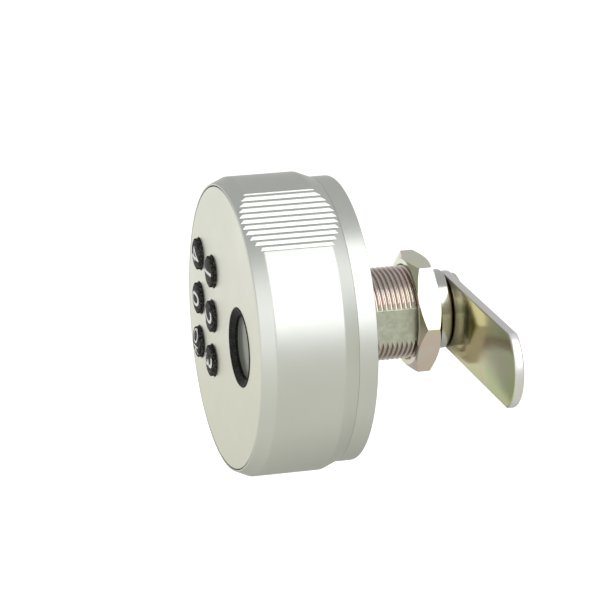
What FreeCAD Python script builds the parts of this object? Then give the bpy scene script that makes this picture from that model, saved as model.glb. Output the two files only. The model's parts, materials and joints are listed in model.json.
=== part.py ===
import FreeCAD, Part
import math
import os
from FreeCAD import Vector

# Electronic cam lock: a keypad knob that turns on a threaded barrel, with a flat cam behind the door.
# All sizes are in millimetres. The lock's axis is Y: the keypad faces -Y, the barrel points to +Y.
# The origin is the centre of the base ring's rear face, which sits on the door. +Z is up.

# Running and assembly clearances
run_gap = 0.05        # shaft in a bore, on the radius
face_gap = 0.15       # between the turning knob and the fixed base ring
end_gap = 0.10        # between the barrel's end and the spindle's disc
fit_gap = 0.10        # a loose fit between pieces that are screwed or clipped together
key_gap = 0.18        # between a key and its hole, on the radius
pin_gap = 0.15        # between the lock pin or stop pin and the base ring

# Barrel, M19 x 1 with two flats, and its flange in the base ring. The thread is drawn as rings.
barrel_r = 9.5
flat_depth = 1.25     # leaves the usual 16.5 between the flats
barrel_long = 19.2
barrel_edge = 0.6
thread_pitch = 1.0
thread_depth = 0.55
thread_land = 0.16    # the flat crest between two grooves
flange_reach = 5.5
flange_thick = 1.7
barrel_screw_r = 1.25
barrel_screw_head_r = 2.2
barrel_screw_head = 1.2
barrel_screw_inset = 2.7      # from the flange's rim
barrel_screw_short = 0.5      # a screw's tip stays this far inside the seat
barrel_screw_angles = (90.0, 210.0, 330.0)
flange_r = barrel_r + flange_reach
barrel_screw_circle_r = flange_r - barrel_screw_inset
thread_count = int((barrel_long - barrel_edge) / thread_pitch)

# Hex nut on the barrel
nut_front = 14.3      # the front face's distance from the seat
nut_thick = 4.7
nut_wall = 1.5        # outside the thread, at the middle of a flat
nut_turn = 30.0       # first corner, from +Z towards +X, degrees
nut_land = 0.2        # the flat face's rim lies this far inside the flats
nut_bevel = 1.15
nut_flats = 2 * (barrel_r + nut_wall)

# Spindle, from the knob to the cam
spindle_r = 5.5
square_step = 1.5     # from the shaft's round to the square's flats
stub_spare = 0.3
disc_reach = 2.6
disc_thick = 3.0
disc_edge = 0.4
hub_wall = 3.5
washer_reach = 3.0
washer_thick = 1.0
spindle_nut_wall = 2.5
spindle_nut_thick = 2.5
disc_r = spindle_r + disc_reach
hub_r = spindle_r + hub_wall
stub_r = spindle_r - square_step
square = 2 * stub_r
washer_r = stub_r + washer_reach
spindle_nut_flats = 2 * (stub_r + spindle_nut_wall)

# Cam and its fixing
cam_thick = 2.0
cam_width = 15.3
cam_reach = 44.8
cam_tip = 4.8         # how far the curved tip stands past the straight sides
cam_edge = 0.45
square_short = 0.1    # the spindle's square ends this far below the cam's rear face
bolt_r = 3.0
bolt_long = 13.0
bolt_flats = 10.0
bolt_head = 1.7
bolt_turn = 13.0
bolt_bevel = 0.5
cam_washer_reach = 2.1        # past the bolt head's flats
cam_washer_thick = 1.0
cam_washer_r = bolt_flats / 2 + cam_washer_reach

# Solenoid and the pin that locks the knob to the base ring
pin_r = 2.0
pin_travel = 2.6
pin_back = 0.1        # the drawn pin's end lies this far inside the shell's rear face
pin_room = 1.95       # behind the drawn pin, inside the coil
lock_wall = 1.35      # between the barrel's flange and a lock hole
lock_spare = 0.1      # under a pin in its hole or slot
coil_wall = 2.4
coil_flange_reach = 1.6
coil_flange = 1.0
coil_room = 1.6       # between the coil's can and the board
coil_stand = 2.15     # between the coil's can and the shell's rear wall
coil_side = 2.7       # between the coil's flange and the shell
guide_wall = 1.4
guide_rise = 1.6
pin_circle_r = flange_r + lock_wall + pin_gap + pin_r
coil_r = pin_r + coil_wall
coil_flange_r = coil_r + coil_flange_reach
guide_r = pin_r + guide_wall

# Stop pin, which runs in a quarter-circle slot of the base ring
turn_range = 90.0
stop_r = 1.5
stop_wall = 1.85      # between the barrel's flange and the slot
stop_angle = 150.0
stop_out = 2.3        # out of the shell's rear face
stop_in = 2.4
stop_circle_r = flange_r + stop_wall + pin_gap + stop_r

# Knob shell: the cavity holds the coil, and the walls give the outline
rear_wall = 2.5
ledge = 1.4           # what the front plate rests on
rim_lip = 0.35        # the shell's lip round the front plate
front_bevel_in = 1.25
front_bevel = 2.85
rear_bevel_in = 1.3
rear_bevel = 3.2
hub_rise = 1.5        # the hub stands this far into the cavity
cavity_r = pin_circle_r + coil_flange_r + coil_side
recess_r = cavity_r + ledge
face_r = recess_r + rim_lip
knob_r = face_r + front_bevel_in
rear_edge_r = knob_r - rear_bevel_in

# Finger grips: two opposite flats with ribs along the axis
grip_turn = 28.0      # from +Z towards +X, degrees
grip_sink = 1.25      # the groove bottoms' depth below the knob's round
rib_rise = 0.42
rib_pitch = 1.55
grip_flat_r = knob_r - grip_sink
rib_count = int(2 * math.sqrt(knob_r ** 2 - grip_flat_r ** 2) / rib_pitch)

# Base ring, which is screwed to the barrel's flange and doesn't turn
ring_depth = 3.7
ring_edge = 0.25
seal_inset = 1.7
seal_r = 0.6
seal_groove_gap = 0.2
ring_r = rear_edge_r
seal_circle_r = ring_r - seal_inset

# Front plate
plate_thick = 1.8
boss_thread_depth = 1.0       # how far a through screw's hole enters the plate itself
plate_r = recess_r - fit_gap

# Keys: two columns of three
key_r = 3.2
key_rise = 1.4        # how far a key's crown stands out of the plate
key_crown = 0.3       # the crown's own height above the rounded edge
key_edge = 0.35       # edge rounding
key_lip = 0.75        # the retaining flange's reach past the hole
key_flange = 0.7
key_stem_r = 1.2
key_travel = 0.5
key_under = 0.2       # left under a pressed key's stem
key_first_x = -8.7
key_row_space = 1.24  # between the flanges of two rows
key_column_space = 2.24
key_stagger = 0.6     # the column next to the reader sits this much lower than the other
key_names = (("key_1", "key_2", "key_3"), ("key_4", "key_0", "key_ok"))
key_hole_r = key_r + key_gap
key_flange_r = key_hole_r + key_lip
key_row_pitch = 2 * key_flange_r + key_row_space
key_columns = (key_first_x, key_first_x - 2 * key_flange_r - key_column_space)
key_rows = (key_row_pitch, 0.0, -key_row_pitch)
key_shifts = (-key_stagger / 2, key_stagger / 2)

# Rubber keypad mat
mat_thick = 0.8
mat_border = 1.2      # past the outer keys' flanges
mat_corner = 3.0
web_foot = 0.33       # the web's foot stands this far outside the key
web_clear = 1.4       # the web's top stands this far outside the key's stem
web_wall = 0.5
mat_margin = key_flange_r + mat_border
web_foot_r = key_r + web_foot
web_top_r = key_stem_r + web_clear

# Round reader window
reader_x = 12.5
bezel_r = 7.85
bezel_rise = 0.15
bezel_wall = 1.5
bezel_slope = 0.9     # the inner rim slopes down by this much
bezel_lip = 1.2
bezel_flange = 0.8
window_step = 0.55    # the window's edge is hidden behind the bezel by this much
window_sink = 1.3     # the window's face lies this far behind the plate's face
module_step = 0.8     # the reader module is this much smaller than the bezel
bezel_flange_r = bezel_r + bezel_lip
bezel_bore_r = bezel_r - bezel_wall
window_r = bezel_bore_r + window_step
module_r = bezel_r - module_step

# Circuit board and what it carries
board_space = 2.7     # from the plate's back to the board
board_thick = 1.0
board_side = 0.8      # between the board and the shell
buzzer_r = 4.3
buzzer_high = 3.5
buzzer_x = 8.0
buzzer_z = 13.0
chip_size = 7.0
chip_high = 1.1
chip_places = ((7.0, -13.5), (11.0, -3.5))
board_r = cavity_r - board_side

# Coin cell and its holder
cell_r = 12.25
cell_thick = 5.0
contact_thick = 0.2
contact_wide = 4.0
contact_long = 10.0
holder_wall = 1.0
holder_floor = 0.6
holder_rim = 1.95     # between the holder and the frame's edge
finger_notch = 9.0    # gap in the holder's wall for lifting the cell
holder_r = cell_r + fit_gap + holder_wall

# Inner frame
frame_thick = 1.6
frame_side = 0.4      # between the frame and the shell
frame_hole_gap = 1.1  # round the spindle nut's corners
nut_room = 0.65       # between the spindle's end and the cell holder
post_r = 2.6
frame_r = cavity_r - frame_side
frame_hole_r = spindle_nut_flats / math.sqrt(3) + frame_hole_gap
frame_space = hub_rise + washer_thick + spindle_nut_thick + stub_spare + nut_room - frame_thick
cell_x = holder_rim + holder_r - frame_r

# Screws that run from the shell's back to the front plate
through_r = 1.25
through_head_r = 2.3
through_head = 1.3
through_inset = 3.9   # from the cavity's wall
through_short = 0.4   # the tip stays this far from the end of its hole
through_angles = (60.0, 120.0, 240.0, 300.0)
through_circle_r = cavity_r - through_inset

# Short screws that hold the board on the inner frame
board_screw_r = 1.0
board_screw_head_r = 1.8
board_screw_head = 1.0
board_screw_depth = 4.0
board_screw_inset = 3.9       # from the board's edge
board_screw_angles = (90.0, 270.0)
board_screw_circle_r = board_r - board_screw_inset

# Planes along the axis, worked out from the sizes above
ring_front = -ring_depth
knob_rear = ring_front - face_gap
wall_front = knob_rear - rear_wall
hub_front = wall_front - hub_rise
frame_back = wall_front - frame_space
frame_front = frame_back - frame_thick
cell_back = frame_front - holder_floor
cell_front = cell_back - cell_thick
board_back = cell_front - contact_thick
board_front = board_back - board_thick
plate_back = board_front - board_space
face = plate_back - plate_thick
disc_front = barrel_long + end_gap
cam_front = disc_front + disc_thick
cam_back = cam_front + cam_thick
head_front = cam_back + cam_washer_thick
coil_back = wall_front - coil_stand
coil_front = board_back + coil_room
pin_end = knob_rear - pin_back
pin_start = coil_front + pin_room


def polar(radius, angle):
    """A place on a circle round the axis, as x and z. The angle runs from +X towards +Z."""
    return radius * math.cos(math.radians(angle)), radius * math.sin(math.radians(angle))


def circle_places(radius, angles):
    return [polar(radius, angle) for angle in angles]


through_places = circle_places(through_circle_r, through_angles)
board_screw_places = circle_places(board_screw_circle_r, board_screw_angles)
barrel_screw_places = circle_places(barrel_screw_circle_r, barrel_screw_angles)
pin_place = polar(pin_circle_r, 0.0)


def rod(radius, start, end, place=(0.0, 0.0)):
    """A round bar along the axis, between two planes."""
    x, z = place
    return Part.makeCylinder(radius, end - start, Vector(x, start, z), Vector(0, 1, 0))


def tube(outer, inner, start, end, place=(0.0, 0.0)):
    return rod(outer, start, end, place).cut(rod(inner, start, end, place))


def cone(start_r, end_r, start, end, place=(0.0, 0.0)):
    x, z = place
    return Part.makeCone(start_r, end_r, end - start, Vector(x, start, z), Vector(0, 1, 0))


def block(x_range, start, end, z_range):
    size_x, size_z = x_range[1] - x_range[0], z_range[1] - z_range[0]
    return Part.makeBox(size_x, end - start, size_z, Vector(x_range[0], start, z_range[0]))


def turned(outline):
    """A solid of revolution round the axis, from radius and y pairs."""
    points = [Vector(radius, y, 0) for radius, y in outline]
    profile = Part.Face(Part.makePolygon(points + points[:1]))
    return profile.revolve(Vector(0, 0, 0), Vector(0, 1, 0), 360)


def hexagon(across_flats, start, end, turn):
    """A hexagonal bar. The turn of its first corner runs from +Z towards +X."""
    corner_r = across_flats / 2 / math.cos(math.radians(30))
    angles = [math.radians(turn + 60 * i) for i in range(6)]
    points = [Vector(corner_r * math.sin(a), start, corner_r * math.cos(a)) for a in angles]
    return Part.Face(Part.makePolygon(points + points[:1])).extrude(Vector(0, end - start, 0))


def square_bar(width, corner_r, start, end):
    """A square bar whose corners are turned down to a round."""
    half = width / 2
    return block((-half, half), start, end, (-half, half)).common(rod(corner_r, start, end))


def sunk_screw(radius, head_r, head, top, tip, place):
    """A countersunk screw. Its flat head is at the plane top, and its shank ends at tip."""
    away = 1 if tip > top else -1
    neck = top + away * head
    shank = rod(radius, min(top, tip), max(top, tip), place)
    if away > 0:
        return shank.fuse(cone(head_r, radius, top, neck, place)).removeSplitter()
    return shank.fuse(cone(radius, head_r, neck, top, place)).removeSplitter()


def sunk_hole(radius, head_r, head, top, end, place):
    """The hole for such a screw, a little wider than its shank."""
    return sunk_screw(radius + run_gap, head_r + run_gap, head, top, end, place)


def all_keys():
    """Each key's name and its place on the plate."""
    for names, x, shift in zip(key_names, key_columns, key_shifts):
        for name, z in zip(names, key_rows):
            yield name, (x, z + shift)


def grip_tool(turn):
    """What is cut away for one finger grip: everything outside a ribbed flat."""
    a = math.radians(turn)
    half = rib_count * rib_pitch / 2
    profile = [(-half, grip_flat_r + rib_rise)]
    for i in range(rib_count):
        profile.append((-half + (i + 0.5) * rib_pitch, grip_flat_r))
        profile.append((-half + (i + 1) * rib_pitch, grip_flat_r + rib_rise))
    outside = knob_r + 2 * rib_rise
    profile += [(half, outside), (-half, outside)]
    start = face - rib_pitch
    points = [Vector(v * math.sin(a) + u * math.cos(a), start, v * math.cos(a) - u * math.sin(a))
              for u, v in profile]
    length = knob_rear - face + 2 * rib_pitch
    return Part.Face(Part.makePolygon(points + points[:1])).extrude(Vector(0, length, 0))


def knob_shell():
    outline = [(0, knob_rear), (rear_edge_r, knob_rear), (knob_r, knob_rear - rear_bevel),
               (knob_r, face + front_bevel), (face_r, face), (recess_r, face),
               (recess_r, plate_back), (cavity_r, plate_back), (cavity_r, wall_front),
               (0, wall_front)]
    shell = turned(outline)
    bosses = [rod(post_r, frame_back, wall_front, p) for p in through_places]
    bosses.append(rod(hub_r, hub_front, wall_front))
    bosses.append(rod(guide_r, wall_front - guide_rise, wall_front, pin_place))
    shell = shell.fuse(bosses)
    holes = [sunk_hole(through_r, through_head_r, through_head, knob_rear, frame_back, p)
             for p in through_places]
    holes.append(square_bar(square + 2 * run_gap, spindle_r + run_gap, hub_front, knob_rear))
    holes.append(rod(pin_r + run_gap, wall_front - guide_rise, knob_rear, pin_place))
    holes.append(rod(stop_r, knob_rear - stop_in, knob_rear, polar(stop_circle_r, stop_angle)))
    return shell.cut(holes + [grip_tool(grip_turn), grip_tool(grip_turn + 180)])


def front_plate():
    plate = rod(plate_r, face, plate_back)
    bosses = [rod(post_r, plate_back, board_front, p) for p in through_places]
    holes = [rod(key_hole_r, face, plate_back, place) for name, place in all_keys()]
    holes.append(rod(bezel_r + run_gap, face, plate_back, (reader_x, 0.0)))
    holes += [rod(through_r + run_gap, plate_back - boss_thread_depth, board_front, p)
              for p in through_places]
    return plate.fuse(bosses).cut(holes)


def through_screws():
    tip = plate_back - boss_thread_depth + through_short
    return Part.makeCompound([sunk_screw(through_r, through_head_r, through_head, knob_rear, tip, p)
                              for p in through_places])


def key(place):
    """A domed rubber key: crown, rounded edge, retaining flange and stem."""
    x, z = place
    top, edge = face - key_rise, face - key_rise + key_crown
    inner = key_r - key_edge
    flange_front = plate_back + run_gap
    flange_back = flange_front + key_flange
    stem_end = board_front - key_travel - key_under
    turn = key_edge * (1 - math.sqrt(0.5))
    crown = Part.Arc(Vector(0, top, 0), Vector(inner * 0.55, top + key_crown * 0.3, 0),
                     Vector(inner, edge, 0)).toShape()
    corner = Part.Arc(Vector(inner, edge, 0), Vector(key_r - turn, edge + turn, 0),
                      Vector(key_r, edge + key_edge, 0)).toShape()
    rest = [(key_r, edge + key_edge), (key_r, flange_front), (key_flange_r, flange_front),
            (key_flange_r, flange_back), (key_stem_r, flange_back), (key_stem_r, stem_end),
            (0, stem_end), (0, top)]
    sides = Part.makePolygon([Vector(radius, y, 0) for radius, y in rest])
    profile = Part.Face(Part.Wire([crown, corner] + sides.Edges))
    body = profile.revolve(Vector(0, 0, 0), Vector(0, 1, 0), 360)
    body.translate(Vector(x, 0, z))
    return body


def keypad_mat():
    """A rubber sheet on the board, with a hollow springy web under each key."""
    left, right = min(key_columns) - mat_margin, max(key_columns) + mat_margin
    high = key_row_pitch + key_stagger / 2 + mat_margin
    sheet_front = board_front - mat_thick
    web_front = plate_back + 2 * run_gap + key_flange
    sheet = block((left, right), sheet_front, board_front, (-high, high))
    upright = [e for e in sheet.Edges if abs(e.tangentAt(e.FirstParameter).y) > 0.99]
    sheet = sheet.makeFillet(mat_corner, upright)
    sheet = sheet.common(rod(board_r, sheet_front, board_front))
    webs = [cone(web_top_r, web_foot_r, web_front, board_front, p) for name, p in all_keys()]
    hollows = [cone(web_top_r - web_wall, web_foot_r - web_wall, web_front, board_front, p)
               for name, p in all_keys()]
    return sheet.fuse(webs).cut(hollows)


def sensor_bezel():
    """A black ring round the reader, clipped in the plate by a flange behind it."""
    top = face - bezel_rise
    flange_back = plate_back + bezel_flange
    window_front = face + window_sink
    outline = [(bezel_bore_r, top + bezel_slope), (bezel_r - bezel_rise, top), (bezel_r, top),
               (bezel_r, plate_back),
               (bezel_flange_r, plate_back), (bezel_flange_r, flange_back),
               (window_r + run_gap, flange_back), (window_r + run_gap, window_front),
               (bezel_bore_r, window_front)]
    ring = turned(outline)
    rims = [e for e in ring.Edges if e.BoundBox.YMax < top + run_gap
            and e.BoundBox.XMax > bezel_r - run_gap]
    ring = ring.makeFillet(bezel_rise * 0.8, rims)
    ring.translate(Vector(reader_x, 0, 0))
    return ring


def sensor_window():
    return rod(window_r, face + window_sink, plate_back + bezel_flange, (reader_x, 0.0))


def reader_module():
    return rod(module_r, plate_back + bezel_flange, board_front, (reader_x, 0.0))


def circuit_board():
    board = rod(board_r, board_front, board_back)
    holes = [rod(through_r + fit_gap, board_front, board_back, p) for p in through_places]
    holes += [rod(board_screw_r + fit_gap, board_front, board_back, p) for p in board_screw_places]
    return board.cut(holes)


def board_screws():
    """Two pan-head screws through the board into the inner frame's posts."""
    tip = board_front + board_screw_depth
    return Part.makeCompound([
        rod(board_screw_head_r, board_front - board_screw_head, board_front, p)
        .fuse(rod(board_screw_r, board_front, tip, p)).removeSplitter()
        for p in board_screw_places])


def board_chips():
    half = chip_size / 2
    return Part.makeCompound([
        block((x - half, x + half), board_back, board_back + chip_high, (z - half, z + half))
        for x, z in chip_places])


def buzzer():
    place = (buzzer_x, buzzer_z)
    body = rod(buzzer_r, board_back, board_back + buzzer_high, place)
    mouth = rod(buzzer_r / 4, board_back + buzzer_high / 2, board_back + buzzer_high, place)
    return body.cut(mouth)


def cell_contact():
    """A spring strip between the board and the coin cell."""
    half_x, half_z = contact_long / 2, contact_wide / 2
    return block((cell_x - half_x, cell_x + half_x), board_back, cell_front, (-half_z, half_z))


def coin_cell():
    place = (cell_x, 0.0)
    cap = rod(cell_r - holder_wall, cell_front, cell_front + cell_thick / 2, place)
    can = rod(cell_r, cell_front + cell_thick / 4, cell_back, place)
    return cap.fuse(can).removeSplitter()


def battery_holder():
    place = (cell_x, 0.0)
    cup = rod(holder_r, cell_front, frame_front, place)
    pocket = rod(cell_r + fit_gap, cell_front, cell_back, place)
    half = finger_notch / 2
    notch = block((cell_x - half, cell_x + half), cell_front, cell_back, (0, holder_r))
    return cup.cut([pocket, notch])


def inner_frame():
    """The moulded frame that carries the board, the cell and the solenoid."""
    plate = rod(frame_r, frame_front, frame_back)
    posts = [rod(post_r, board_back, frame_front, p) for p in through_places + board_screw_places]
    tip = board_front + board_screw_depth
    holes = [rod(through_r + fit_gap, board_back, frame_back, p) for p in through_places]
    holes += [rod(board_screw_r, board_back, tip, p) for p in board_screw_places]
    holes.append(rod(frame_hole_r, frame_front, frame_back))
    holes.append(rod(coil_r + fit_gap, frame_front, frame_back, pin_place))
    return plate.fuse(posts).cut(holes)


def solenoid():
    """A latching coil in its can, which draws the pin. A flange rests on the inner frame."""
    can = rod(coil_r, coil_front, coil_back, pin_place)
    flange = rod(coil_flange_r, frame_front - coil_flange, frame_front, pin_place)
    bore = rod(pin_r + run_gap, pin_start - fit_gap, coil_back, pin_place)
    return can.fuse(flange).cut(bore)


def lock_pin():
    pin = rod(pin_r, pin_start, pin_end, pin_place)
    tip = [e for e in pin.Edges if e.BoundBox.YMin > pin_end - run_gap]
    return pin.makeChamfer(pin_r / 8, tip)


def stop_pin():
    return rod(stop_r, knob_rear - stop_in, knob_rear + stop_out, polar(stop_circle_r, stop_angle))


def stop_slot():
    """The quarter-circle slot that limits the knob's turn."""
    half_wide = stop_r + pin_gap
    depth = knob_rear + stop_out + lock_spare
    band = tube(stop_circle_r + half_wide, stop_circle_r - half_wide, ring_front, depth)
    reach = 2 * ring_r
    corners = [(0.0, 0.0)]
    corners += circle_places(reach, [stop_angle, stop_angle + turn_range / 2, stop_angle + turn_range])
    points = [Vector(x, ring_front, z) for x, z in corners]
    sector = Part.Face(Part.makePolygon(points + points[:1])).extrude(Vector(0, ring_depth, 0))
    ends = [rod(half_wide, ring_front, depth, polar(stop_circle_r, stop_angle + turn))
            for turn in (0.0, turn_range)]
    return band.common(sector).fuse(ends)


def base_ring():
    """The rosette on the door: pockets for the barrel's flange, the seal, both pins' ways."""
    ring = turned([(0, 0), (ring_r - ring_edge, 0), (ring_r, -ring_edge), (ring_r, ring_front),
                   (0, ring_front)])
    seal_half = seal_r + seal_groove_gap
    groove = tube(seal_circle_r + seal_half, seal_circle_r - seal_half, ring_front,
                  ring_front + 2 * seal_r)
    lock_depth = pin_end + pin_travel + lock_spare
    locks = [rod(pin_r + pin_gap, ring_front, lock_depth, polar(pin_circle_r, turn))
             for turn in (0.0, turn_range)]
    pocket = rod(flange_r + fit_gap, ring_front, ring_front + flange_thick)
    bore = rod(barrel_r + run_gap, ring_front, 0)
    tip = -barrel_screw_short
    threads = [rod(barrel_screw_r, ring_front, tip, p) for p in barrel_screw_places]
    return ring.cut([groove, pocket, bore, stop_slot()] + locks + threads)


def seal_ring():
    x_axis = Vector(0, 1, 0)
    return Part.makeTorus(seal_circle_r, seal_r, Vector(0, ring_front + seal_r - run_gap, 0), x_axis)


def threaded_barrel():
    """The fixed barrel: a flange in the base ring and a threaded tube with two flats."""
    half = (thread_pitch - thread_land) / 2
    outline = [(spindle_r + run_gap, ring_front), (flange_r, ring_front),
               (flange_r, ring_front + flange_thick), (barrel_r, ring_front + flange_thick)]
    for i in range(thread_count):
        middle = (i + 0.5) * thread_pitch
        outline += [(barrel_r, middle - half), (barrel_r - thread_depth, middle),
                    (barrel_r, middle + half)]
    outline += [(barrel_r, barrel_long - barrel_edge), (barrel_r - barrel_edge, barrel_long),
                (spindle_r + run_gap, barrel_long)]
    barrel = turned(outline)
    flat = barrel_r - flat_depth
    sides = [block(side, 0, barrel_long, (-barrel_r, barrel_r))
             for side in ((flat, barrel_r), (-barrel_r, -flat))]
    holes = [sunk_hole(barrel_screw_r, barrel_screw_head_r, barrel_screw_head, ring_front,
                       ring_front + flange_thick, p) for p in barrel_screw_places]
    return barrel.cut(sides + holes)


def barrel_screws():
    tip = -barrel_screw_short
    return Part.makeCompound([
        sunk_screw(barrel_screw_r, barrel_screw_head_r, barrel_screw_head, ring_front, tip, p)
        for p in barrel_screw_places])


def hex_nut():
    """A thin hexagon nut, chamfered on both faces."""
    back = nut_front + nut_thick
    corner_r = nut_flats / 2 / math.cos(math.radians(30))
    side_r = corner_r + run_gap
    blank = hexagon(nut_flats, nut_front, back, nut_turn)
    land_r = nut_flats / 2 - nut_land
    envelope = turned([(0, nut_front), (land_r, nut_front), (side_r, nut_front + nut_bevel),
                       (side_r, back - nut_bevel), (land_r, back), (0, back)])
    return blank.common(envelope).cut(rod(barrel_r + run_gap, nut_front, back))


def spindle():
    """One turned piece: threaded stub, square for the knob, shaft, disc and square for the cam."""
    stub_end = hub_front - washer_thick - spindle_nut_thick - stub_spare
    stub = rod(stub_r, stub_end, hub_front)
    drive = square_bar(square, spindle_r, hub_front, knob_rear)
    shaft = rod(spindle_r, knob_rear, disc_front)
    disc = turned([(0, disc_front), (disc_r, disc_front), (disc_r, cam_front - disc_edge),
                   (disc_r - disc_edge, cam_front), (0, cam_front)])
    tail = square_bar(square, spindle_r, cam_front, cam_back - square_short)
    bolt_tip = head_front - bolt_long
    thread = rod(bolt_r + run_gap, bolt_tip - fit_gap, cam_back)
    return shaft.fuse([stub, drive, disc, tail]).cut(thread)


def spindle_washer():
    return tube(washer_r, stub_r + fit_gap, hub_front - washer_thick, hub_front)


def spindle_nut():
    back = hub_front - washer_thick
    blank = hexagon(spindle_nut_flats, back - spindle_nut_thick, back, 0)
    return blank.cut(rod(stub_r + run_gap, back - spindle_nut_thick, back))


def cam():
    """A flat straight cam with a square hole, a round heel and a curved tip."""
    half = cam_width / 2
    shoulder = cam_reach - cam_tip
    heel = Part.Arc(Vector(0, cam_front, half), Vector(-half, cam_front, 0),
                    Vector(0, cam_front, -half)).toShape()
    tip = Part.Arc(Vector(shoulder, cam_front, -half), Vector(cam_reach, cam_front, 0),
                   Vector(shoulder, cam_front, half)).toShape()
    lower = Part.makeLine(Vector(0, cam_front, -half), Vector(shoulder, cam_front, -half))
    upper = Part.makeLine(Vector(shoulder, cam_front, half), Vector(0, cam_front, half))
    outline = Part.Face(Part.Wire([heel, lower, tip, upper]))
    plate = outline.extrude(Vector(0, cam_thick, 0))
    rims = [e for e in plate.Edges if abs(e.BoundBox.YMax - e.BoundBox.YMin) < run_gap]
    plate = plate.makeFillet(cam_edge, rims)
    return plate.cut(square_bar(square + 2 * run_gap, spindle_r + run_gap, cam_front, cam_back))


def cam_washer():
    return tube(cam_washer_r, bolt_r + fit_gap, cam_back, head_front)


def cam_bolt():
    head_back = head_front + bolt_head
    corner_r = bolt_flats / 2 / math.cos(math.radians(30))
    side_r = corner_r + run_gap
    head = hexagon(bolt_flats, head_front, head_back, bolt_turn)
    dome = turned([(0, head_front), (side_r, head_front), (side_r, head_back - bolt_bevel),
                   (bolt_flats / 2 - run_gap, head_back), (0, head_back)])
    shank = rod(bolt_r, head_front - bolt_long, head_front)
    return head.common(dome).fuse(shank).removeSplitter()


makers = {
    "base_ring": base_ring, "threaded_barrel": threaded_barrel, "barrel_screws": barrel_screws,
    "hex_nut": hex_nut, "seal_ring": seal_ring, "knob_shell": knob_shell,
    "front_plate": front_plate, "sensor_bezel": sensor_bezel, "sensor_window": sensor_window,
    "reader_module": reader_module, "keypad_mat": keypad_mat, "circuit_board": circuit_board,
    "board_screws": board_screws, "board_chips": board_chips, "buzzer": buzzer,
    "cell_contact": cell_contact, "coin_cell": coin_cell, "battery_holder": battery_holder,
    "inner_frame": inner_frame, "through_screws": through_screws, "solenoid": solenoid,
    "lock_pin": lock_pin, "stop_pin": stop_pin, "spindle": spindle,
    "spindle_washer": spindle_washer, "spindle_nut": spindle_nut, "cam": cam,
    "cam_washer": cam_washer, "cam_bolt": cam_bolt,
}

os.makedirs("parts", exist_ok=True)
pieces = {name: make() for name, make in makers.items()}
pieces.update({name: key(place) for name, place in all_keys()})
for name, shape in pieces.items():
    shape.exportStep("parts/" + name + ".step")
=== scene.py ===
import json
import math

import bpy
from mathutils import Matrix, Vector


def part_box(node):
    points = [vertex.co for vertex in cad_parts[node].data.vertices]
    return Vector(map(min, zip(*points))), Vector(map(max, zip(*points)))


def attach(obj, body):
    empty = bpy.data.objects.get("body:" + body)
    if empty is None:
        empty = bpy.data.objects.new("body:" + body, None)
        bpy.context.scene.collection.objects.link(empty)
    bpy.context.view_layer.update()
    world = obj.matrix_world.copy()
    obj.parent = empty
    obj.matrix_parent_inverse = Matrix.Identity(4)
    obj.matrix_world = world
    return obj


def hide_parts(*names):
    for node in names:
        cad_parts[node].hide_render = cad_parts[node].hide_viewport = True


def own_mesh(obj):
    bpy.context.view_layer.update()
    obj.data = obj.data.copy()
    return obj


# Electronic cam lock, dressed for looks. Pieces are modelled in millimetres and brought to
# metres when they are finished. The lock's axis is Y: the keypad faces -Y and the barrel points
# to +Y. A place beside the axis is given as x and z.

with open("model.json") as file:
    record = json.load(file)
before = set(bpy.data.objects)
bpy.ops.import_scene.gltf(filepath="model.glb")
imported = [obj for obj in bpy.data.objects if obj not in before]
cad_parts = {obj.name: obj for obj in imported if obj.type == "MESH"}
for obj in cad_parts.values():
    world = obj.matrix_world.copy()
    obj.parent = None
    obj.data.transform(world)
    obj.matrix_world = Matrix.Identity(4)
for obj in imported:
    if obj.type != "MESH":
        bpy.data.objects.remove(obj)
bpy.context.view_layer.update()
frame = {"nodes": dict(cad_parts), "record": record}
bpy.ops.object.select_all(action="DESELECT")


def span(node, axis):
    """How far a CAD node reaches along x, y or z, in millimetres."""
    low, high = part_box(node)
    return 1000 * low["xyz".index(axis)], 1000 * high["xyz".index(axis)]


# Knob, front plate and base ring
knob_front, knob_rear = span("knob_shell", "y")
knob_r = span("knob_shell", "x")[1]
face_r = 28.95
recess_r = 28.6
cavity_r = 27.2
rear_r = 28.9
front_bevel = 2.85
rear_bevel = 3.2
plate_r = span("front_plate", "x")[1]
plate_back = knob_front + 1.8
board_front = span("front_plate", "y")[1]
wall_front = knob_rear - 2.5
hub_front = wall_front - 1.5
frame_back = span("inner_frame", "y")[1]
ring_front, seat = span("base_ring", "y")
ring_r = span("base_ring", "x")[1]
lip_front = knob_rear + 0.015
front_step = 0.02       # the shell's front lies this far behind the CAD one
post_r = 2.6
post_hole_r = 1.3
post_circle_r = 23.3
post_angles = (60.0, 120.0, 240.0, 300.0)
pin_circle_r = 18.5
pin_r = 2.0
guide_r = 3.4
stop_r = 1.5
stop_angle = 150.0      # the stop pin's place at rest, in degrees from +X towards +Z
quarter_turn = 90.0
pin_gap = 0.15
lock_hole_end = -1.25

# Finger grips
grip_turn = 28.0
grip_flat_r = 28.95
rib_rise = 0.42
rib_pitch = 1.55
rib_count = 11

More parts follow.
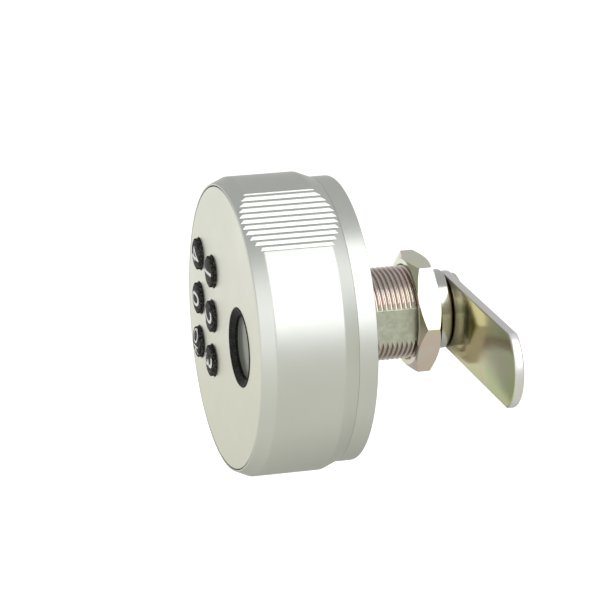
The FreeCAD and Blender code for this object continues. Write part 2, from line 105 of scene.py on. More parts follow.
# Barrel, nut, spindle and cam
barrel_r = 9.5
barrel_end = span("threaded_barrel", "y")[1]
flange_r = span("threaded_barrel", "x")[1]
flange_back = ring_front + 1.7
flat_x = 8.25
burr_r = 0.11           # thin bright burr along the upper edge of the flat facing +X
burr_z = 3.28
thread_depth = 0.58
thread_pitch = 1.0
bore_r = 5.55
barrel_screw_circle_r = 12.3
barrel_screw_angles = (90.0, 210.0, 330.0)
nut_front, nut_back = span("hex_nut", "y")
nut_flats = 22.0
nut_turn = 30.0
disc_front = barrel_end + 0.1
spindle_r = 5.5
square_half = 4.0
disc_r = span("spindle", "x")[1]
cam_front, cam_back = span("cam", "y")
cam_half, cam_reach = span("cam", "z")[1], span("cam", "x")[1]
cam_shoulder = cam_reach - 4.8
bolt_front = span("cam_washer", "y")[1]
bolt_back = span("cam_bolt", "y")[1]
bolt_r = 3.0
bolt_long = 13.0
bolt_flats = 10.0
bolt_turn = 13.0
washer_r = span("cam_washer", "x")[1]

# Keys, their mat and the reader
key_r = 3.2
key_gap = 0.18
key_flange_r = 4.13
key_flange = 0.7
key_stem_r = 1.2
key_columns = (-8.7, -19.2)
key_rows = (9.5, 0.0, -9.5)
key_shifts = (-0.3, 0.3)
key_nodes = (("key_1", "key_2", "key_3"), ("key_4", "key_0", "key_ok"))
key_words = (("1", "2", "3"), ("4", "0", "OK"))
key_top = span("key_1", "y")[0] + 0.17
key_crown_r = 2.85
key_hollow = 0.27       # the crown's middle stands this far above its rim
board_r = 26.4
mat_thick = 0.8
web_top_r = 2.6
web_foot_r = 3.53
web_wall = 0.5
reader_x = 12.5
reader_hole_r = 7.9
bezel_r = 7.85
bezel_bore_r = 6.35
bezel_flange_r = 9.05
bezel_slope = 0.9
window_r = 6.9
bezel_top = span("sensor_bezel", "y")[0]
window_front = span("sensor_window", "y")[0]


# Modelling by hand: small steps that every piece below uses

def only_nothing():
    """Leaves edit mode with nothing selected."""
    if bpy.context.mode != "OBJECT":
        bpy.ops.object.mode_set(mode="OBJECT")
    bpy.ops.object.select_all(action="DESELECT")


def only(piece):
    """Makes this piece the selected and active one."""
    only_nothing()
    piece.select_set(True)
    bpy.context.view_layer.objects.active = piece


def added(name):
    """Names the primitive that was just added and opens it for editing."""
    piece = bpy.context.object
    piece.name = piece.data.name = name
    bpy.ops.object.mode_set(mode="EDIT")
    bpy.ops.mesh.select_mode(type="VERT")
    bpy.ops.mesh.select_all(action="SELECT")
    return piece


def closed(piece, merge=0.0005):
    """Merges what meets, turns the faces outwards and leaves edit mode."""
    bpy.ops.mesh.select_all(action="SELECT")
    bpy.ops.mesh.remove_doubles(threshold=merge)
    bpy.ops.mesh.normals_make_consistent(inside=False)
    bpy.ops.object.mode_set(mode="OBJECT")
    bpy.ops.object.transform_apply(location=True, rotation=True, scale=True)
    return piece


def drawn(name, points):
    """A line drawn from point to point by extruding one vertex."""
    only_nothing()
    bpy.ops.mesh.primitive_plane_add(size=1, location=points[0])
    piece = added(name)
    bpy.ops.mesh.merge(type="CENTER")
    for start, end in zip(points, points[1:]):
        step = [b - a for a, b in zip(start, end)]
        bpy.ops.mesh.extrude_vertices_move(TRANSFORM_OT_translate={"value": step})
    return piece


def softened(outline, turn=9.0):
    """Radius and y pairs, with each corner that has a third number rounded off by that length."""
    corners = [tuple(c) + (0.0,) * (3 - len(c)) for c in outline]
    made = []
    for i, (r, y, size) in enumerate(corners):
        here = Vector((r, y))
        before, after = Vector(corners[i - 1][:2]), Vector(corners[(i + 1) % len(corners)][:2])
        if size == 0:
            made.append((r, y))
            continue
        back, on = (before - here).normalized(), (after - here).normalized()
        a, b = here + back * size, here + on * size
        steps = max(2, math.ceil(math.degrees((-back).angle(on)) / turn))
        margin = min(0.12, size * 0.4)
        made.append(tuple(a + back * margin))
        for k in range(steps + 1):
            s = k / steps
            made.append(tuple(a * (1 - s) ** 2 + here * 2 * s * (1 - s) + b * s * s))
        made.append(tuple(b + on * margin))
    return made


def turned(name, outline, place=(0.0, 0.0), segments=96, loop=True):
    """A turned piece: its outline, spun once round an axis along Y at that place."""
    x, z = place
    points = [(x + r, y, z) for r, y in outline]
    piece = drawn(name, points + points[:1] if loop else points)
    bpy.ops.mesh.select_all(action="SELECT")
    bpy.ops.mesh.spin(steps=segments, angle=2 * math.pi, center=(x, 0, z), axis=(0, 1, 0))
    return closed(piece)


def rod(name, radius, start, end, place=(0.0, 0.0), segments=64):
    """A round bar along Y."""
    return turned(name, [(0, start), (radius, start), (radius, end), (0, end)], place, segments,
                  loop=False)


def prism(name, corners, travel):
    """A flat face drawn from its corners and extruded."""
    piece = drawn(name, list(corners) + [corners[0]])
    bpy.ops.mesh.select_all(action="SELECT")
    bpy.ops.mesh.remove_doubles(threshold=0.0005)
    bpy.ops.mesh.edge_face_add()
    bpy.ops.mesh.extrude_region_move(TRANSFORM_OT_translate={"value": travel})
    return closed(piece)


def hexagon(name, flats, start, end, turn):
    """A hexagonal bar whose first corner is turned from +Z towards +X."""
    only_nothing()
    bpy.ops.mesh.primitive_circle_add(vertices=6, radius=flats / 2 / math.cos(math.radians(30)),
                                      fill_type="NGON", location=(0, start, 0),
                                      rotation=(math.radians(90), math.radians(turn), 0))
    piece = added(name)
    bpy.ops.mesh.extrude_region_move(TRANSFORM_OT_translate={"value": (0, end - start, 0)})
    return closed(piece)


def square_bar(name, half, corner_r, start, end):
    """A square bar along Y whose corners are turned down."""
    bar = prism(name, [(half, start, half), (half, start, -half), (-half, start, -half),
                       (-half, start, half)], (0, end - start, 0))
    return combined(bar, rod("corners", corner_r, start, end), "INTERSECT")


def combined(piece, tool, how="DIFFERENCE"):
    """Cuts, joins or intersects a piece with a tool, which is used up."""
    only(piece)
    step = piece.modifiers.new(how.lower(), "BOOLEAN")
    step.operation, step.object, step.solver = how, tool, "EXACT"
    bpy.ops.object.modifier_apply(modifier=step.name)
    bpy.data.objects.remove(tool)
    return piece


def polar(radius, angle):
    """The x and z of a place round the axis, its angle in degrees from +X towards +Z."""
    return radius * math.cos(math.radians(angle)), radius * math.sin(math.radians(angle))


def picked_edges(piece, test):
    """Selects the edges whose two ends pass the test, and opens the piece for editing."""
    only(piece)
    bpy.ops.object.mode_set(mode="EDIT")
    bpy.ops.mesh.select_mode(type="EDGE")
    bpy.ops.mesh.select_all(action="DESELECT")
    bpy.ops.object.mode_set(mode="OBJECT")
    points = piece.data.vertices
    for edge in piece.data.edges:
        edge.select = all(test(points[v].co) for v in edge.vertices)
    bpy.ops.object.mode_set(mode="EDIT")


def finished(piece, body, look, replaced=None, smooth=11.0):
    """Mends what the cuts left open, brings the piece to metres, and gives it body and look."""
    only(piece)
    bpy.ops.object.mode_set(mode="EDIT")
    bpy.ops.mesh.select_mode(type="VERT")
    bpy.ops.mesh.select_all(action="SELECT")
    bpy.ops.mesh.remove_doubles(threshold=0.002)
    bpy.ops.mesh.dissolve_degenerate(threshold=0.001)
    bpy.ops.mesh.fill_holes(sides=12)
    bpy.ops.object.mode_set(mode="OBJECT")
    piece.scale = (0.001, 0.001, 0.001)
    bpy.ops.object.transform_apply(location=True, rotation=True, scale=True)
    bpy.ops.object.shade_smooth_by_angle(angle=math.radians(smooth))
    piece.data.materials.clear()
    piece.data.materials.append(look)
    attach(piece, body)
    if replaced:
        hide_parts(replaced)
    return piece


# Effects that several finishes share

def effect(name, inputs, outputs):
    """A node group with named inputs, as name, kind and value, and named outputs."""
    group = bpy.data.node_groups.new(name, "ShaderNodeTree")
    for label, kind, value in inputs:
        socket = group.interface.new_socket(name=label, in_out="INPUT", socket_type=kind)
        if value is not None:
            socket.default_value = value
    for label, kind in outputs:
        group.interface.new_socket(name=label, in_out="OUTPUT", socket_type=kind)
    start, end = group.nodes.new("NodeGroupInput"), group.nodes.new("NodeGroupOutput")
    return group, start, end


def node(tree, kind, settings=None, **inputs):
    """Adds a node, with its settings, and sets or links its inputs by name or number."""
    made = tree.nodes.new(kind)
    for key, value in (settings or {}).items():
        setattr(made, key, value)
    for key, value in inputs.items():
        socket = made.inputs[int(key[1:])] if key[0] == "n" and key[1:].isdigit() else \
            made.inputs[key.replace("_", " ")]
        if isinstance(value, bpy.types.NodeSocket):
            tree.links.new(value, socket)
        else:
            socket.default_value = value
    return made


def mixed(tree, amount, first, second, how="MIX"):
    """Mixes two colours; the amount and each colour is a value or another node's output."""
    return node(tree, "ShaderNodeMix", {"data_type": "RGBA", "blend_type": how},
                n0=amount, n6=first, n7=second).outputs[2]


def coloured(tree, value, stops):
    """A colour ramp with these stops, each a place from 0 to 1 and a colour."""
    made = node(tree, "ShaderNodeValToRGB", Fac=value)
    ramp = made.color_ramp
    while len(ramp.elements) < len(stops):
        ramp.elements.new(0.5)
    for element, (place, colour) in zip(ramp.elements, stops):
        element.position, element.color = place, (*colour, 1)
    return made.outputs["Color"]


def off_axis(tree, place):
    """The distance from the Y axis."""
    level = node(tree, "ShaderNodeVectorMath", {"operation": "MULTIPLY"}, n0=place, n1=(1, 0, 1))
    return node(tree, "ShaderNodeVectorMath", {"operation": "LENGTH"},
                n0=level.outputs[0]).outputs["Value"]


def grain_effect():
    """Fine even grain, as on blasted metal or moulded rubber."""
    group, start, end = effect("fine grain", [
        ("Vector", "NodeSocketVector", None), ("Scale", "NodeSocketFloat", 3000.0),
        ("Contrast", "NodeSocketFloat", 1.0)], [("Height", "NodeSocketFloat")])
    noise = node(group, "ShaderNodeTexNoise", Vector=start.outputs["Vector"],
                 Scale=start.outputs["Scale"], Detail=3.0, Roughness=0.6)
    even = node(group, "ShaderNodeMath", {"operation": "SUBTRACT"}, n0=noise.outputs[0], n1=0.5)
    height = node(group, "ShaderNodeMath", {"operation": "MULTIPLY"}, n0=even.outputs[0],
                  n1=start.outputs["Contrast"])
    group.links.new(height.outputs[0], end.inputs["Height"])
    return group


def turning_effect():
    """Fine marks of a lathe: rings round the Y axis."""
    group, start, end = effect("turning marks", [
        ("Vector", "NodeSocketVector", None), ("Scale", "NodeSocketFloat", 4000.0)],
        [("Height", "NodeSocketFloat")])
    away = off_axis(group, start.outputs["Vector"])
    parts = node(group, "ShaderNodeSeparateXYZ", n0=start.outputs["Vector"])
    along = node(group, "ShaderNodeMath", {"operation": "ADD"}, n0=away, n1=parts.outputs["Y"])
    rings = node(group, "ShaderNodeTexNoise", {"noise_dimensions": "1D"}, W=along.outputs[0],
                 Scale=start.outputs["Scale"], Detail=2.0)
    group.links.new(rings.outputs[0], end.inputs["Height"])
    return group


def patches_effect():
    """Slow changes over the surface, between two values."""
    group, start, end = effect("soft patches", [
        ("Vector", "NodeSocketVector", None), ("Scale", "NodeSocketFloat", 60.0),
        ("Low", "NodeSocketFloat", 0.0), ("High", "NodeSocketFloat", 1.0)],
        [("Value", "NodeSocketFloat")])
    noise = node(group, "ShaderNodeTexNoise", Vector=start.outputs["Vector"],
                 Scale=start.outputs["Scale"], Detail=4.0, Roughness=0.55)
    spread = node(group, "ShaderNodeMapRange", n0=noise.outputs[0], n1=0.3, n2=0.7,
                  n3=start.outputs["Low"], n4=start.outputs["High"])
    group.links.new(spread.outputs[0], end.inputs["Value"])
    return group


def tint_effect():
    """The rainbow film of a chromated zinc plating, laid over a metal colour."""
    group, start, end = effect("chromate film", [
        ("Vector", "NodeSocketVector", None), ("Scale", "NodeSocketFloat", 90.0),
        ("Amount", "NodeSocketFloat", 1.0), ("Metal", "NodeSocketColor", (0.6, 0.6, 0.6, 1))],
        [("Color", "NodeSocketColor")])
    noise = node(group, "ShaderNodeTexNoise", Vector=start.outputs["Vector"],
                 Scale=start.outputs["Scale"], Detail=3.0, Roughness=0.5, Distortion=0.6)
    bands = coloured(group, noise.outputs[0], (
        (0.26, (0.50, 0.56, 0.34)), (0.38, (0.64, 0.58, 0.38)), (0.47, (0.68, 0.52, 0.47)),
        (0.55, (0.65, 0.58, 0.58)), (0.64, (0.54, 0.60, 0.42)), (0.76, (0.68, 0.62, 0.38))))
    film = mixed(group, start.outputs["Amount"], start.outputs["Metal"], bands)
    group.links.new(film, end.inputs["Color"])
    return group


def speckle_effect():
    """Small light grains that stand out of a dark moulded surface."""
    group, start, end = effect("light speckles", [
        ("Vector", "NodeSocketVector", None), ("Scale", "NodeSocketFloat", 2800.0),
        ("Color", "NodeSocketColor", (0, 0, 0, 1)),
        ("Light", "NodeSocketColor", (0.1, 0.1, 0.1, 1))], [("Color", "NodeSocketColor")])
    noise = node(group, "ShaderNodeTexNoise", Vector=start.outputs["Vector"],
                 Scale=start.outputs["Scale"], Detail=1.0, Roughness=0.5)
    amount = node(group, "ShaderNodeMapRange", n0=noise.outputs[0], n1=0.50, n2=0.68)
    speckled = mixed(group, amount.outputs[0], start.outputs["Color"], start.outputs["Light"])
    group.links.new(speckled, end.inputs["Color"])
    return group


def thread_effect():
    """A plated thread: bright crests, grooves darkened by painted shade with the plating's
    pink-brown tint, and matt grey milled flats facing X.
    """
    group, start, end = effect("plated thread", [
        ("Vector", "NodeSocketVector", None), ("Color", "NodeSocketColor", (0.7, 0.7, 0.7, 1)),
        ("Flat", "NodeSocketColor", (0.5, 0.5, 0.5, 1)), ("Roughness", "NodeSocketFloat", 0.2)],
        [("Color", "NodeSocketColor"), ("Roughness", "NodeSocketFloat")])
    # Painted shade: the deeper the surface lies in the thread's grooves, the darker it is made, with
    # a pink-brown film tint.
    depth = node(group, "ShaderNodeMapRange", n0=off_axis(group, start.outputs["Vector"]),
                 n1=0.0088, n2=0.0095)
    painted_groove_shade_and_tint = coloured(group, depth.outputs[0], (
        (0.0, (1, 1, 1)), (0.12, (1, 1, 1)), (0.2, (0.38, 0.32, 0.27)),
        (0.45, (0.58, 0.47, 0.43)), (0.7, (0.80, 0.70, 0.76)), (0.86, (1, 0.98, 0.97))))
    painted_dark_tint = mixed(group, 1.0, start.outputs["Color"], painted_groove_shade_and_tint, "MULTIPLY")
    parts = node(group, "ShaderNodeSeparateXYZ", n0=start.outputs["Vector"])
    side = node(group, "ShaderNodeMath", {"operation": "ABSOLUTE"}, n0=parts.outputs["X"])
    on_flat = node(group, "ShaderNodeMapRange", n0=side.outputs[0], n1=0.00819, n2=0.00823)
    colour = mixed(group, on_flat.outputs[0], painted_dark_tint, start.outputs["Flat"])
    rough = node(group, "ShaderNodeMapRange", n0=on_flat.outputs[0],
                 n3=start.outputs["Roughness"], n4=0.42)
    group.links.new(colour, end.inputs["Color"])
    group.links.new(rough.outputs[0], end.inputs["Roughness"])
    return group


def cam_effect():
    """A stamped cam: rougher edges with a pale painted highlight, a painted dark gold reflection of
    the nut and disc round the hub, and a painted shadow of the disc around it.
    """
    group, start, end = effect("stamped cam", [
        ("Vector", "NodeSocketVector", None), ("Normal", "NodeSocketVector", None),
        ("Color", "NodeSocketColor", (0.7, 0.7, 0.7, 1)), ("Roughness", "NodeSocketFloat", 0.2)],
        [("Color", "NodeSocketColor"), ("Roughness", "NodeSocketFloat")])
    away = node(group, "ShaderNodeVectorMath", {"operation": "LENGTH"}, n0=start.outputs["Vector"])
    # Painted reflection: the face near the hub is tinted dark gold, standing in for the nut and disc
    # reflected in it.
    painted_hub_reflection = node(group, "ShaderNodeMapRange", n0=away.outputs["Value"], n1=0.0285, n2=0.0235)
    painted_dark_tint = mixed(group, painted_hub_reflection.outputs[0], start.outputs["Color"], (0.66, 0.62, 0.38, 1),
                    "MULTIPLY")
    # Painted shadow: a dark ring just outside the spindle's disc, where the disc shades the cam.
    painted_disc_shadow = node(group, "ShaderNodeMapRange", n0=away.outputs["Value"], n1=0.0254, n2=0.0239)
    shaded = mixed(group, painted_disc_shadow.outputs[0], painted_dark_tint, (0.30, 0.22, 0.15, 1), "MULTIPLY")
    # Painted highlight: faces that do not face along Y, the bevelled edges and sides, get a pale
    # colour, and a rougher finish.
    parts = node(group, "ShaderNodeSeparateXYZ", n0=start.outputs["Normal"])
    facing = node(group, "ShaderNodeMath", {"operation": "ABSOLUTE"}, n0=parts.outputs["Y"])
    edge = node(group, "ShaderNodeMapRange", n0=facing.outputs[0], n1=0.8, n2=0.3)
    colour = mixed(group, edge.outputs[0], shaded, (0.70, 0.69, 0.68, 1))
    rough = node(group, "ShaderNodeMapRange", n0=edge.outputs[0], n3=start.outputs["Roughness"],
                 n4=0.36)
    group.links.new(colour, end.inputs["Color"])
    group.links.new(rough.outputs[0], end.inputs["Roughness"])
    return group


grain, turning, patches, tint = grain_effect(), turning_effect(), patches_effect(), tint_effect()
speckle, thread_look, cam_look = speckle_effect(), thread_effect(), cam_effect()


def placed(tree, group, **inputs):
    """Places an effect in a material and sets or links its inputs."""
    made = tree.nodes.new("ShaderNodeGroup")
    made.node_tree = group
    for key, value in inputs.items():
        if isinstance(value, bpy.types.NodeSocket):
            tree.links.new(value, made.inputs[key])
        else:
            made.inputs[key].default_value = value
    return made


def finish_of(name, colour, metallic, roughness, variation=0.04, grain_scale=3000.0,
              grain_depth=0.0, turning_scale=4000.0, turning_depth=0.0, film=0.0, film_scale=90.0,
              shade=0.06, speckles=0.0, piece=None, **constants):
    """A material: a colour and a roughness that vary a little, and a fine relief."""
    look = bpy.data.materials.new(name)
    look.use_nodes = True
    tree = look.node_tree
    tree.nodes.clear()
    out = tree.nodes.new("ShaderNodeOutputMaterial")
    surface = tree.nodes.new("ShaderNodeBsdfPrincipled")
    tree.links.new(surface.outputs[0], out.inputs["Surface"])
    coordinates = tree.nodes.new("ShaderNodeTexCoord")
    place = coordinates.outputs["Object"]
    surface.inputs["Metallic"].default_value = metallic
    for key, value in constants.items():
        surface.inputs[key.replace("_", " ")].default_value = value
    rough = placed(tree, patches, Vector=place, Scale=70.0, Low=roughness - variation,
                   High=roughness + variation)
    tree.links.new(rough.outputs[0], surface.inputs["Roughness"])
    level = placed(tree, patches, Vector=place, Scale=45.0, Low=1.0 - shade, High=1.0)
    colour_out = mixed(tree, 1.0, (*colour, 1.0), level.outputs[0], "MULTIPLY")
    if film:
        covered = placed(tree, tint, Vector=place, Scale=film_scale, Amount=film, Metal=colour_out)
        colour_out = covered.outputs[0]
    if speckles:
        light = (speckles, speckles, speckles * 0.95, 1)
        colour_out = placed(tree, speckle, Vector=place, Color=colour_out, Light=light).outputs[0]
    # The thread and cam effects paint shade, shadow, highlights and reflection into the colour,
    # along with film tints and the milled flats' grey.
    if piece == "thread":
        level = placed(tree, patches, Vector=place, Scale=900.0, Low=0.82, High=1.1)
        flat = node(tree, "ShaderNodeVectorMath", {"operation": "SCALE"}, n0=(0.53, 0.55, 0.46),
                    Scale=level.outputs[0])
        tint_and_painted_light = placed(tree, thread_look, Vector=place, Color=colour_out, Flat=flat.outputs[0],
                      Roughness=rough.outputs[0])
    elif piece == "cam":
        tint_and_painted_light = placed(tree, cam_look, Vector=place, Normal=coordinates.outputs["Normal"],
                      Color=colour_out, Roughness=rough.outputs[0])
    if piece:
        colour_out = tint_and_painted_light.outputs["Color"]
        tree.links.new(tint_and_painted_light.outputs["Roughness"], surface.inputs["Roughness"])
    tree.links.new(colour_out, surface.inputs["Base Color"])
    relief = None
    if grain_depth:
        height = placed(tree, grain, Vector=place, Scale=grain_scale, Contrast=1.0)
        relief = node(tree, "ShaderNodeBump", Distance=grain_depth, Height=height.outputs[0])
    if turning_depth:
        rings = placed(tree, turning, Vector=place, Scale=turning_scale)
        marks = node(tree, "ShaderNodeBump", Distance=turning_depth, Height=rings.outputs[0])
        if relief:
            tree.links.new(relief.outputs[0], marks.inputs["Normal"])
        relief = marks
    if relief:
        tree.links.new(relief.outputs[0], surface.inputs["Normal"])
    return look


satin_aluminium = finish_of("satin aluminium", (0.585, 0.60, 0.565), 1.0, 0.39, grain_scale=5000,
                            grain_depth=0.000004, turning_scale=5000, turning_depth=0.000003)
plate_aluminium = finish_of("plate aluminium", (0.695, 0.70, 0.62), 1.0, 0.42, grain_scale=6000,
                            grain_depth=0.00001)
yellow_zinc = finish_of("yellow zinc", (0.76, 0.72, 0.62), 1.0, 0.16, film=0.65, film_scale=75,
                        grain_scale=1500, grain_depth=0.00001)
cam_zinc = finish_of("cam zinc", (0.47, 0.53, 0.24), 1.0, 0.15, film=0.5, film_scale=60,
                     piece="cam", grain_scale=1500, grain_depth=0.00001)
barrel_zinc = finish_of("barrel zinc", (0.84, 0.84, 0.80), 1.0, 0.24, film=0.25, film_scale=160,
                        piece="thread", grain_scale=2500, grain_depth=0.00001)
bright_zinc = finish_of("bright zinc", (0.54, 0.56, 0.53), 1.0, 0.17, film=0.12, film_scale=90,
                        grain_scale=2500, grain_depth=0.000006)
key_rubber = finish_of("key rubber", (0.009, 0.009, 0.0085), 0.0, 0.55, grain_scale=3200,
                       grain_depth=0.0001, speckles=0.085, Specular_IOR_Level=0.1)
mat_rubber = finish_of("mat rubber", (0.08, 0.08, 0.08), 0.0, 0.6, grain_scale=2500,
                       grain_depth=0.00002)
bezel_black = finish_of("bezel black", (0.008, 0.008, 0.0075), 0.0, 0.50, variation=0.03,
                        grain_scale=2200, grain_depth=0.0001, speckles=0.03,
                        Specular_IOR_Level=0.08)
window_grey = finish_of("window grey", (0.12, 0.125, 0.108), 0.0, 0.16, variation=0.02,
                        grain_scale=400, grain_depth=0.000002, Specular_IOR_Level=0.3)
moulded_black = finish_of("moulded black", (0.03, 0.03, 0.03), 0.0, 0.45, grain_scale=3000,
                          grain_depth=0.00002)
board_green = finish_of("board green", (0.03, 0.18, 0.08), 0.0, 0.35, grain_scale=1200,
                        grain_depth=0.00001)
ground_steel = finish_of("ground steel", (0.58, 0.58, 0.59), 1.0, 0.25, turning_scale=6000,
                         turning_depth=0.00001)
spring_brass = finish_of("spring brass", (0.80, 0.62, 0.28), 1.0, 0.28, grain_scale=2500,
                         grain_depth=0.000008)
legend_ink = finish_of("legend ink", (0.62, 0.62, 0.60), 0.0, 0.5, grain_scale=4000,
                       grain_depth=0.00001)


# Knob shell

def grip_tool(turn):
    """What one finger grip takes away: all outside a flat with pointed ribs along the axis."""
    a = math.radians(turn)
    half = rib_count * rib_pitch / 2
    high = grip_flat_r + rib_rise
    profile = [(-half, high)]
    for i in range(rib_count):
        profile += [(-half + (i + 0.5) * rib_pitch, grip_flat_r, 0.12),
                    (-half + (i + 1) * rib_pitch, high, 0.26)]
    profile = softened(profile[:-1] + [(half, high), (half, knob_r + 1), (-half, knob_r + 1)], 12.0)
    start = knob_front - rib_pitch
    corners = [(v * math.sin(a) + u * math.cos(a), start, v * math.cos(a) - u * math.sin(a))
               for u, v in profile]
    return prism("grip_tool", corners, (0, knob_rear - knob_front + 2 * rib_pitch, 0))


def knob_body():
    """The shell: its turned outline, hub, posts, screw ways, pin ways, square and grips."""
    outline = softened([
        (0, knob_rear), (rear_r, knob_rear, 0.08), (knob_r, knob_rear - rear_bevel, 0.22),
        (knob_r, knob_front + front_bevel, 0.22), (face_r, knob_front + front_step, 0.16),
        (recess_r, knob_front + front_step, 0.08), (recess_r, plate_back), (cavity_r, plate_back),
        (cavity_r, wall_front), (0, wall_front)])
    body = turned("knob_body", outline, segments=256, loop=False)
    combined(body, rod("hub", 9.0, hub_front, wall_front + 0.5, segments=96), "UNION")
    for angle in post_angles:
        place = polar(post_circle_r, angle)
        combined(body, rod("post", post_r, frame_back, wall_front + 0.5, place), "UNION")
    for angle in post_angles:
        x, z = polar(post_circle_r, angle)
        hole = [(0, knob_rear + 0.1), (2.45, knob_rear + 0.1), (2.35, knob_rear),
                (post_hole_r, knob_rear - 1.3), (post_hole_r, frame_back - 0.1),
                (0, frame_back - 0.1)]
        combined(body, turned("screw_way", hole, (x, z), 48, loop=False))
    pin_place = polar(pin_circle_r, 0.0)
    combined(body, rod("guide", guide_r, wall_front - 1.6, wall_front + 0.5, pin_place), "UNION")
    combined(body, rod("pin_way", pin_r + 0.05, wall_front - 2, knob_rear + 0.1, pin_place))
    combined(body, rod("stop_way", stop_r, knob_rear - 2.4, knob_rear + 0.1,
                       polar(pin_circle_r, stop_angle), 48))
    combined(body, square_bar("drive", square_half + 0.05, spindle_r + 0.05, hub_front - 0.1,
                              knob_rear + 0.1))
    for turn in (grip_turn, grip_turn + 180):
        combined(body, grip_tool(turn))
    return finished(body, "knob", satin_aluminium, "knob_shell")


def plate_disc():
    """The front plate with its key holes, reader hole and threaded posts."""
    rim_r = plate_r - 0.08
    outline = softened([(0, knob_front), (rim_r, knob_front, 0.22), (rim_r, plate_back),
                        (0, plate_back)])
    plate = turned("plate_disc", outline, segments=256, loop=False)
    places = [(x, z + shift, key_r + key_gap) for x, shift in zip(key_columns, key_shifts)
              for z in key_rows]
    places.append((reader_x, 0.0, reader_hole_r))
    for x, z, radius in places:
        hole = [(0, knob_front - 0.2), (radius + 0.3, knob_front - 0.2),
                (radius, knob_front + 0.1), (radius, plate_back + 0.1), (0, plate_back + 0.1)]
        combined(plate, turned("hole", hole, (x, z), 96, loop=False))
    for angle in post_angles:
        place = polar(post_circle_r, angle)
        combined(plate, rod("post", post_r, plate_back - 0.2, board_front, place), "UNION")
    for angle in post_angles:
        place = polar(post_circle_r, angle)
        combined(plate, rod("screw_way", post_hole_r, plate_back - 1.0, board_front + 0.1, place,
                            48))
    return finished(plate, "knob", plate_aluminium, "front_plate")


# Keys with their printed words

def key_cap():
    """A key at the origin's x and z: crowned top, retaining flange and stem."""
    crown, steps = key_top + 0.03, 8
    outline = [(key_crown_r * i / steps, crown + key_hollow * (i / steps) ** 2)
               for i in range(steps + 1)]
    outline += softened([(0, 0), (key_r, key_top + 0.30, 0.34), (key_r, knob_front + 0.4)])[1:-1]
    flange_front, stem_end = plate_back + 0.05, board_front - 0.7
    outline += [(key_r, knob_front + 0.4), (key_r, flange_front), (key_flange_r, flange_front),
                (key_flange_r, flange_front + key_flange), (key_stem_r, flange_front + key_flange),
                (key_stem_r, stem_end), (0, stem_end)]
    return turned("key_cap", outline, segments=80, loop=False)


def copied(model, name, x, z):
    """A copy of the model with its own mesh, moved to its place."""
    only(model)
    bpy.ops.object.duplicate()
    piece = bpy.context.object
    piece.name = piece.data.name = name
    piece.location = (x, 0, z)
    bpy.ops.object.transform_apply(location=True, rotation=True, scale=True)
    return piece


def legend(name, word, model, x, z):
    """A printed word, laid on the model key's crown and then moved to its own key."""
    only_nothing()
    bpy.ops.object.text_add()
    text = bpy.context.object
    text.data.body = word
    text.data.size = 6.8 if len(word) == 1 else 4.3
    text.data.align_x, text.data.align_y = "CENTER", "CENTER"
    text.data.offset = -0.018
    text.data.resolution_u = 4
    bpy.ops.object.convert(target="MESH")
    turn = Matrix(((0, 1, 0), (0, 0, -1), (-1, 0, 0))).to_4x4()
    bpy.context.object.matrix_world = Matrix.Translation((0, key_top - 0.5, 0)) @ turn
    bpy.ops.object.transform_apply(location=True, rotation=True, scale=True)
    mark = added(name)
    bpy.ops.mesh.remove_doubles(threshold=0.001)
    bpy.ops.mesh.quads_convert_to_tris()
    bpy.ops.mesh.subdivide(number_cuts=3)
    bpy.ops.object.mode_set(mode="OBJECT")
    laid = mark.modifiers.new("laid", "SHRINKWRAP")
    laid.wrap_method, laid.target, laid.use_project_y = "PROJECT", model, True
    bpy.ops.object.modifier_apply(modifier=laid.name)
    thick = mark.modifiers.new("thick", "SOLIDIFY")
    thick.thickness, thick.offset = 0.04, 0.0
    bpy.ops.object.modifier_apply(modifier=thick.name)
    mark.location = (x, 0, z)
    bpy.ops.object.transform_apply(location=True, rotation=True, scale=True)
    bpy.ops.object.mode_set(mode="EDIT")
    return closed(mark)


def keypad():
    """Six keys, each with its word."""
    model = key_cap()
    for x, shift, names, words in zip(key_columns, key_shifts, key_nodes, key_words):
        for row, name, word in zip(key_rows, names, words):
            z = row + shift
            cap = copied(model, name.replace("key_", "key_cap_"), x, z)
            finished(cap, name, key_rubber, name, smooth=25)
            mark = legend(name.replace("key_", "legend_"), word, model, x, z)
            finished(mark, name, legend_ink, smooth=25)
    bpy.data.objects.remove(model)


# Rubber mat behind the keys

def keypad_mat():
    """A sheet on the board, with a springy web under each key."""
    (left, right), (web_front, back), (low, high) = (span("keypad_mat", axis) for axis in "xyz")
    sheet_front = back - mat_thick
    sheet = prism("mat_sheet", [(left, sheet_front, low), (right, sheet_front, low),
                                (right, sheet_front, high), (left, sheet_front, high)],
                  (0, back - sheet_front, 0))
    combined(sheet, rod("board_edge", board_r, sheet_front - 1, back + 1, segments=128), "INTERSECT")
    places = [(name, x, row + shift) for x, shift, names in zip(key_columns, key_shifts, key_nodes)
              for row, name in zip(key_rows, names)]
    for name, x, z in places:
        combined(sheet, rod("web_way", web_foot_r - web_wall, sheet_front - 1, back + 1, (x, z)))
    finished(sheet, "knob", mat_rubber, "keypad_mat")
    for name, x, z in places:
        outline = [(web_top_r, web_front), (web_foot_r, back), (web_foot_r - web_wall, back),
                   (web_top_r - web_wall, web_front)]
        web = turned(name.replace("key_", "mat_web_"), outline, (x, z), 64)
        finished(web, "knob", mat_rubber, "keypad_mat")
        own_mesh(web)


# Round reader

